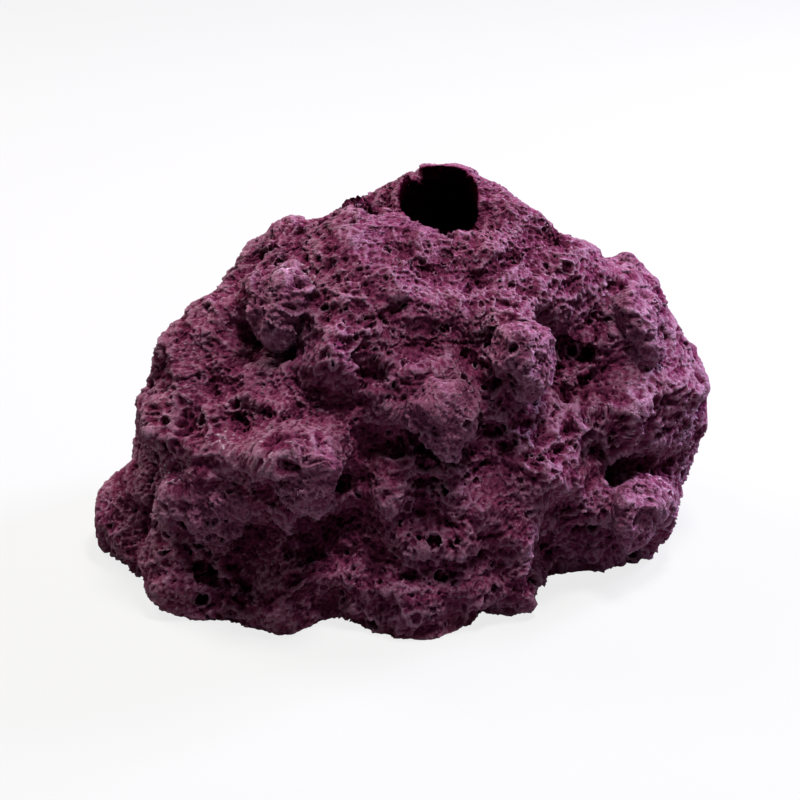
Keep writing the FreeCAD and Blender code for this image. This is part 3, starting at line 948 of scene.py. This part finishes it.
# ---- materials
def linear(hex_colour):
    """Linear red, green, blue and alpha of an sRGB hex colour."""
    parts = [int(hex_colour[k:k + 2], 16) / 255 for k in (1, 3, 5)]
    return [p / 12.92 if p <= 0.04045 else ((p + 0.055) / 1.055) ** 2.4 for p in parts] + [1.0]


def bare_tree(owner):
    """The node tree of a new material or world, emptied."""
    owner.use_nodes = True
    owner.node_tree.nodes.clear()
    return owner.node_tree


def add(tree, kind, inputs=(), **settings):
    """Adds a node: settings are its own or its sockets' values.

    Inputs pair a socket with its value or with the socket that feeds it.
    """
    node = tree.nodes.new(kind)
    sockets = {socket.name.lower(): socket for socket in node.inputs}
    for key, value in settings.items():
        socket = sockets.get(key.replace("_", " "))
        if socket:
            socket.default_value = value
        else:
            setattr(node, key, value)
    for socket, value in inputs:
        if isinstance(value, bpy.types.NodeSocket):
            tree.links.new(value, node.inputs[socket])
        else:
            node.inputs[socket].default_value = value
    return node


DEEP_SHADE = "#080104"       # painted shade of deep hollows and of the bore
CREST_HIGHLIGHT_SHARE = 0.42          # of the crests' highlight colour, at its palest: painted highlight
PIT_SHADE_SHARE = 0.55           # of the recesses' shade colour, painted as shade in the finest bubbles
BUMP = 1.0                  # height of the bump, in millimetres
DRY_SHINE = 0.35            # specular level of the crests


def cast_lava_resin(name, wear):
    """Calcium-filled polyester resin cast against lava rock, pigmented in the mass.

    The filler makes it dead matt, with hardly a highlight.  The pits are painted darker,
    as painted shade, and the crests paler, as painted highlights; wear makes it all paler.
    The finest bubbles, down to 0.4 mm, are bump, with painted shade in them, and pale
    specks on crests are partly dust and partly painted glints.
    """
    colours = bpy.context.scene.rock_colours
    material = bpy.data.materials.new(name)
    tree = bare_tree(material)
    place = add(tree, "ShaderNodeTexCoord").outputs["Object"]

    def attribute(name):
        return add(tree, "ShaderNodeAttribute", attribute_name=name).outputs["Fac"]

    proud = attribute("proud")

    def scaled_noise(size_mm, detail, rough=0.6):
        return add(tree, "ShaderNodeTexNoise", [("Vector", place)], scale=1 / (size_mm * MM),
                   detail=detail, roughness=rough).outputs["Fac"]

    def mapped(source, low, high, to_low=0.0, to_high=1.0):
        return add(tree, "ShaderNodeMapRange", [
            ("Value", source), ("From Min", low), ("From Max", high),
            ("To Min", to_low), ("To Max", to_high)]).outputs["Result"]

    def mix(factor, a, b, kind="MIX"):
        return add(tree, "ShaderNodeMix", [(0, factor), (6, a), (7, b)],
                   data_type="RGBA", blend_type=kind).outputs[2]

    def maths(kind, a, b):
        return add(tree, "ShaderNodeMath", [(0, a), (1, b)], operation=kind).outputs[0]

    body = mix(scaled_noise(18, 3), linear(colours.body_red), linear(colours.body_violet))
    body = mix(wear, body, linear(colours.crest_highlight))
    # Painted shade: darker the further a place lies below its surroundings.
    recess_shade = mapped(proud, -0.15, -1.5)
    # Painted highlight: paler the further a place stands proud of its surroundings.
    crest_highlight = mapped(proud, 0.1, 1.05)
    crest_highlight = maths("MULTIPLY", crest_highlight, mapped(scaled_noise(2.2, 4), 0.35, 0.65, 0.35, 1.0))
    tone = mix(recess_shade, body, linear(colours.recess_shade))
    # Painted shade, near black, in deep hollows and down the bore.
    tone = mix(mapped(proud, -2.0, -5.0), tone, linear(DEEP_SHADE))
    tone = mix(maths("MULTIPLY", crest_highlight, CREST_HIGHLIGHT_SHARE), tone, linear(colours.crest_highlight))
    grain = mapped(scaled_noise(0.6, 6, 0.7), 0.3, 0.7, 0.4, 1.6)
    tone = mix(1.0, tone, grain, "MULTIPLY")
    # Pale specks on crests: partly dust, partly painted glints.
    speck = mapped(scaled_noise(1.1, 3), 0.58, 0.66)
    patch = mapped(attribute("dust_and_glint"), 0.1, 0.6)
    dust_and_glint_share = maths("MULTIPLY", maths("MULTIPLY", speck, patch), mapped(proud, 0.1, 0.5))
    tone = mix(dust_and_glint_share, tone, linear(colours.dust_and_glint))

    cells = add(tree, "ShaderNodeTexVoronoi", [("Vector", place)],
                scale=1 / (1.15 * MM), randomness=1.0)
    holes = mapped(cells.outputs["Distance"], 0.12, 0.42)
    kept = mapped(scaled_noise(3.0, 1), 0.45, 0.6)
    holes = maths("MAXIMUM", holes, maths("SUBTRACT", 1.0, kept))
    height = maths("ADD", maths("MULTIPLY", holes, 0.6), scaled_noise(0.7, 7, 0.72))
    bump = add(tree, "ShaderNodeBump", [("Height", height)], strength=1.0, distance=BUMP * MM)
    # Painted shade in the finest bubbles of the bump.
    pit_shade = maths("MULTIPLY", maths("SUBTRACT", 1.0, holes), PIT_SHADE_SHARE)
    tone = mix(pit_shade, tone, linear(colours.recess_shade))

    shine = mapped(proud, -0.2, 0.6, 0.0, DRY_SHINE)
    shader = add(
        tree, "ShaderNodeBsdfPrincipled",
        [("Base Color", tone), ("Normal", bump.outputs[0]), ("Specular IOR Level", shine)],
        roughness=0.62, ior=1.5)
    add(tree, "ShaderNodeOutputMaterial", [("Surface", shader.outputs[0])])
    return material


# ---- the add-on's parts
class RockSizes(bpy.types.PropertyGroup):
    """Sizes of the crust, in millimetres."""
    crag_height: bpy.props.FloatProperty(
        name="Crag height", description="Height of the crests above the hollows, in mm",
        default=1.5, min=0, max=4)
    vesicle_size: bpy.props.FloatProperty(
        name="Vesicle size", description="Width of a large open bubble, in mm",
        default=2.5, min=1, max=5)


class RockColours(bpy.types.PropertyGroup):
    """Colours of the pigmented resin and of its painted shade and highlights, as sRGB hex values.
    """
    body_red: bpy.props.StringProperty(
        name="Body, red", description="Redder tone of the resin", default="#651E38")
    body_violet: bpy.props.StringProperty(
        name="Body, violet", description="More violet tone of the resin", default="#662549")
    # Painted shade of pits and recesses.
    recess_shade: bpy.props.StringProperty(
        name="Recess", description="Pigment gathered in the pits", default="#1E0009")
    # Painted highlight of crests; wear also pales the body towards it.
    crest_highlight: bpy.props.StringProperty(
        name="Crest", description="Rubbed crests", default="#BA8AA8")
    # Partly dust, partly painted glints on crests.
    dust_and_glint: bpy.props.StringProperty(
        name="Dust", description="Pale mineral dust", default="#CDBBC6")


class StageSettings(bpy.types.PropertyGroup):
    """Camera and floor."""
    elevation: bpy.props.FloatProperty(
        name="Elevation", description="Angle of the camera above the floor",
        default=math.radians(25), subtype="ANGLE")
    distance: bpy.props.FloatProperty(
        name="Distance", description="Camera to the middle of the ornament",
        default=0.495, unit="LENGTH")
    floor: bpy.props.StringProperty(
        name="Floor", description="Colour of the floor", default="#9C9B9A")


class ROCK_OT_shell(bpy.types.Operator):
    """Make the hollow casting with its crust, crater and cave"""
    bl_idname = "rock.make_shell"
    bl_label = "Make Rock Shell"

    def execute(self, context):
        finish = cast_lava_resin("cast_lava_resin_shell", wear=0.04)
        for made in make_shell(context.scene.rock_sizes):
            made.data.materials.append(finish)
            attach(made, "root")
            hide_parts("rock_shell")
        return {"FINISHED"}


class ROCK_OT_rubble(bpy.types.Operator):
    """Make the chunks of rubble that are bonded to the shell"""
    bl_idname = "rock.make_rubble"
    bl_label = "Make Rubble"

    def execute(self, context):
        finish = cast_lava_resin("cast_lava_resin_rubble", wear=0.14)
        for name in CHUNKS:
            made = make_chunk(name, context.scene.rock_sizes)
            made.data.materials.append(finish)
            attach(made, "root")
            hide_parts(name)
        return {"FINISHED"}


class ROCK_OT_stage(bpy.types.Operator):
    """Make the floor, the soft lamps and the camera"""
    bl_idname = "rock.make_stage"
    bl_label = "Make Stage"

    def execute(self, context):
        make_stage(context.scene.rock_stage)
        return {"FINISHED"}


class ROCK_PT_panel(bpy.types.Panel):
    """Sidebar panel with the ornament's settings and steps"""
    bl_idname = "ROCK_PT_panel"
    bl_label = "Rock Cave"
    bl_space_type = "VIEW_3D"
    bl_region_type = "UI"
    bl_category = "Rock Cave"

    def draw(self, context):
        scene = context.scene
        for group in (scene.rock_sizes, scene.rock_colours, scene.rock_stage):
            for key in group.__annotations__:
                self.layout.prop(group, key)
        for maker in (ROCK_OT_shell, ROCK_OT_rubble, ROCK_OT_stage):
            self.layout.operator(maker.bl_idname)


# ---- the stage
FLOOR_GLOW = 0.8            # plain white in what the camera sees of the floor
CAMERA_AIM = (-0.0005, -0.0002, 0.0362)
SOFT_SKY = 0.04             # white surroundings, as a light

# Lamps: place and width in metres, watts, colour.
LAMPS = {
    "top_lamp": ((0.16, -0.02, 0.90), 0.20, 11.5, "#FFFFFF"),
    "right_lamp": ((0.62, 0.36, 0.46), 0.22, 18, "#DCD8FF"),
    "left_lamp": ((-0.44, 0.34, 0.58), 0.26, 5.5, "#FFF2EA"),
    "front_lamp": ((-0.30, -0.80, 0.80), 0.8, 0.15, "#FFFFFF"),
}


def area_lamp(name, place, aim, size, watts, colour):
    """A square soft lamp at a place, turned to aim at a point."""
    data = bpy.data.lights.new(name, "AREA")
    data.color = linear(colour)[:3]
    data.size = size
    data.energy = watts
    lamp = placed(name, data)
    lamp.location = place
    lamp.rotation_euler = (Vector(aim) - Vector(place)).to_track_quat("-Z", "Y").to_euler()


def make_stage(settings):
    """White ground, soft lamps above, right and left, a faint one in front, and the camera."""
    scene = bpy.context.scene
    reach = 4.0
    mesh = bpy.data.meshes.new("floor")
    mesh.from_pydata(
        [(-reach, -reach, 0), (reach, -reach, 0), (reach, reach, 0), (-reach, reach, 0)],
        [], [(0, 1, 2, 3)])
    floor = placed("floor", mesh)
    floor.data.materials.append(paper_white(settings.floor))

    middle = (Vector(CAD_BOX[0]) + Vector(CAD_BOX[1])) / 2
    for name, (place, size, watts, colour) in LAMPS.items():
        area_lamp(name, place, middle, size, watts, colour)

    world = bpy.data.worlds.new("studio")
    tree = bare_tree(world)
    path = add(tree, "ShaderNodeLightPath").outputs
    seen = path["Is Camera Ray"]
    for ray in ("Is Glossy Ray", "Is Transmission Ray"):
        either = add(tree, "ShaderNodeMath", [(0, seen), (1, path[ray])], operation="MAXIMUM")
        seen = either.outputs[0]
    soft = add(tree, "ShaderNodeBackground", color=(1, 1, 1, 1), strength=SOFT_SKY)
    white = add(tree, "ShaderNodeBackground", color=(1, 1, 1, 1), strength=1.0)
    both = add(tree, "ShaderNodeMixShader",
               [(0, seen), (1, soft.outputs[0]), (2, white.outputs[0])])
    add(tree, "ShaderNodeOutputWorld", [("Surface", both.outputs[0])])
    scene.world = world
    scene.view_settings.view_transform = "Standard"

    data = bpy.data.cameras.new("camera")
    data.lens = 85
    data.sensor_width = 36
    camera = placed("camera", data)
    aim = Vector(CAMERA_AIM)
    back = Vector((0, -math.cos(settings.elevation), math.sin(settings.elevation)))
    camera.location = aim + back * settings.distance
    camera.rotation_euler = (-back).to_track_quat("-Z", "Y").to_euler()
    scene.camera = camera


def paper_white(colour):
    """Seamless paper: matt, and near white to the camera, with the soft shadow kept."""
    material = bpy.data.materials.new("seamless_paper")
    tree = bare_tree(material)
    path = add(tree, "ShaderNodeLightPath").outputs
    share = add(tree, "ShaderNodeMath", [(0, path["Is Camera Ray"]), (1, FLOOR_GLOW)],
                operation="MULTIPLY")
    matt = add(tree, "ShaderNodeBsdfDiffuse", color=linear(colour))
    glow = add(tree, "ShaderNodeEmission", color=(1, 1, 1, 1), strength=1.0)
    both = add(tree, "ShaderNodeMixShader",
               [(0, share.outputs[0]), (1, matt.outputs[0]), (2, glow.outputs[0])])
    add(tree, "ShaderNodeOutputMaterial", [("Surface", both.outputs[0])])
    return material


CLASSES = (RockSizes, RockColours, StageSettings, ROCK_OT_shell, ROCK_OT_rubble,
           ROCK_OT_stage, ROCK_PT_panel)


def register():
    """Registers the add-on's classes, and its settings on the scene."""
    for made in CLASSES:
        bpy.utils.register_class(made)
    bpy.types.Scene.rock_sizes = bpy.props.PointerProperty(type=RockSizes)
    bpy.types.Scene.rock_colours = bpy.props.PointerProperty(type=RockColours)
    bpy.types.Scene.rock_stage = bpy.props.PointerProperty(type=StageSettings)


def unregister():
    """Takes the add-on's settings and classes out again."""
    for key in ("rock_sizes", "rock_colours", "rock_stage"):
        delattr(bpy.types.Scene, key)
    for made in reversed(CLASSES):
        bpy.utils.unregister_class(made)


def main():
    """Makes the ornament and its stage."""
    register()
    bpy.ops.rock.make_shell()
    bpy.ops.rock.make_rubble()
    bpy.ops.rock.make_stage()


if __name__ == "__main__":
    main()
